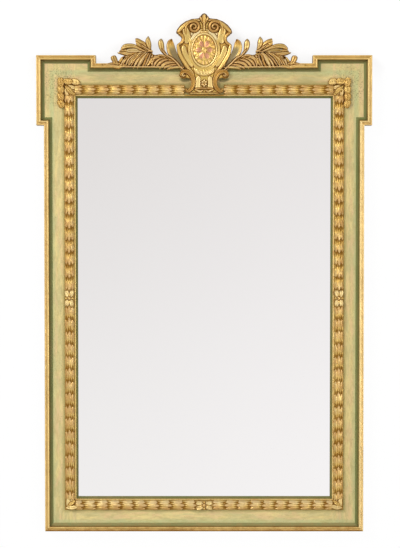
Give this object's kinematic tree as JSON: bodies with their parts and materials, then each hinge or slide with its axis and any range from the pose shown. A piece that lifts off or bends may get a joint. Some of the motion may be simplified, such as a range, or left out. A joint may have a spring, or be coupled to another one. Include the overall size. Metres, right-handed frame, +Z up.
{
  "type": "wall mirror",
  "caption": "Tall rectangular wall mirror in a painted and gilt carved frame with eared upper corners and a scrolled crest between leaf sprays.",
  "frame": {"origin": "on the rear face of the backboard, where it meets the wall, on the middle line and level with the top of the hooks that the hanging rings hang on", "axes": "+X to the right as seen from the front, +Y into the wall, +Z up"},
  "size_m": [0.77, 0.042, 1.1925],
  "materials": {
    "celadon_paint": "distressed celadon paint on softwood",
    "gilding": "antiqued gilding over red bole",
    "green_paint": "dark green paint",
    "looking_glass": "silvered plate glass",
    "plywood": "aged plywood",
    "bare_wood": "bare softwood",
    "iron": "cut iron, dull",
    "steel": "plated steel, dulled"
  },
  "bodies": {
    "frame": {"stile_left": "celadon_paint", "stile_right": "celadon_paint", "rail_top": "celadon_paint", "rail_bottom": "celadon_paint", "ear_side_left": "celadon_paint", "ear_side_right": "celadon_paint", "ear_top_left": "celadon_paint", "ear_top_right": "celadon_paint", "rim_bottom": "gilding", "rim_side_left": "gilding", "rim_side_right": "gilding", "rim_ear_under_left": "gilding", "rim_ear_under_right": "gilding", "rim_ear_side_left": "gilding", "rim_ear_side_right": "gilding", "rim_ear_top_left": "gilding", "rim_ear_top_right": "gilding", "rim_ear_inner_left": "gilding", "rim_ear_inner_right": "gilding", "rim_top_left": "gilding", "rim_top_right": "gilding", "laurel_left": "gilding", "laurel_right": "gilding", "laurel_bottom": "gilding", "laurel_top_left": "gilding", "laurel_top_right": "gilding", "rosette_left": "gilding", "rosette_right": "gilding", "rosette_bottom": "gilding", "corner_leaves_left": "gilding", "corner_leaves_right": "gilding", "cartouche": "gilding", "crest_boss": "gilding", "crest_spray_left": "gilding", "crest_spray_right": "gilding", "slip_left": "green_paint", "slip_right": "green_paint", "slip_top": "green_paint", "slip_bottom": "green_paint", "mirror_glass": "looking_glass", "backboard": "plywood", "glazing_blocks": "bare_wood", "crest_brace": "bare_wood", "tenon_pegs": "bare_wood", "backboard_nails": "iron", "crest_nails": "iron", "hanger_plate_left": "steel", "hanger_plate_right": "steel", "hanger_screws": "steel"},
    "ring_left": {"hanger_ring_left": "steel"},
    "ring_right": {"hanger_ring_right": "steel"}
  },
  "joints": [
    {"name": "ring_left_swing", "type": "hinge", "parent": "frame", "child": "ring_left", "pos_m": [-0.3455, -0.00315, -0.026], "axis": [-1, 0, 0], "range_deg": [0, 175]},
    {"name": "ring_right_swing", "type": "hinge", "parent": "frame", "child": "ring_right", "pos_m": [0.3455, -0.00315, -0.026], "axis": [-1, 0, 0], "range_deg": [0, 175]}
  ]
}
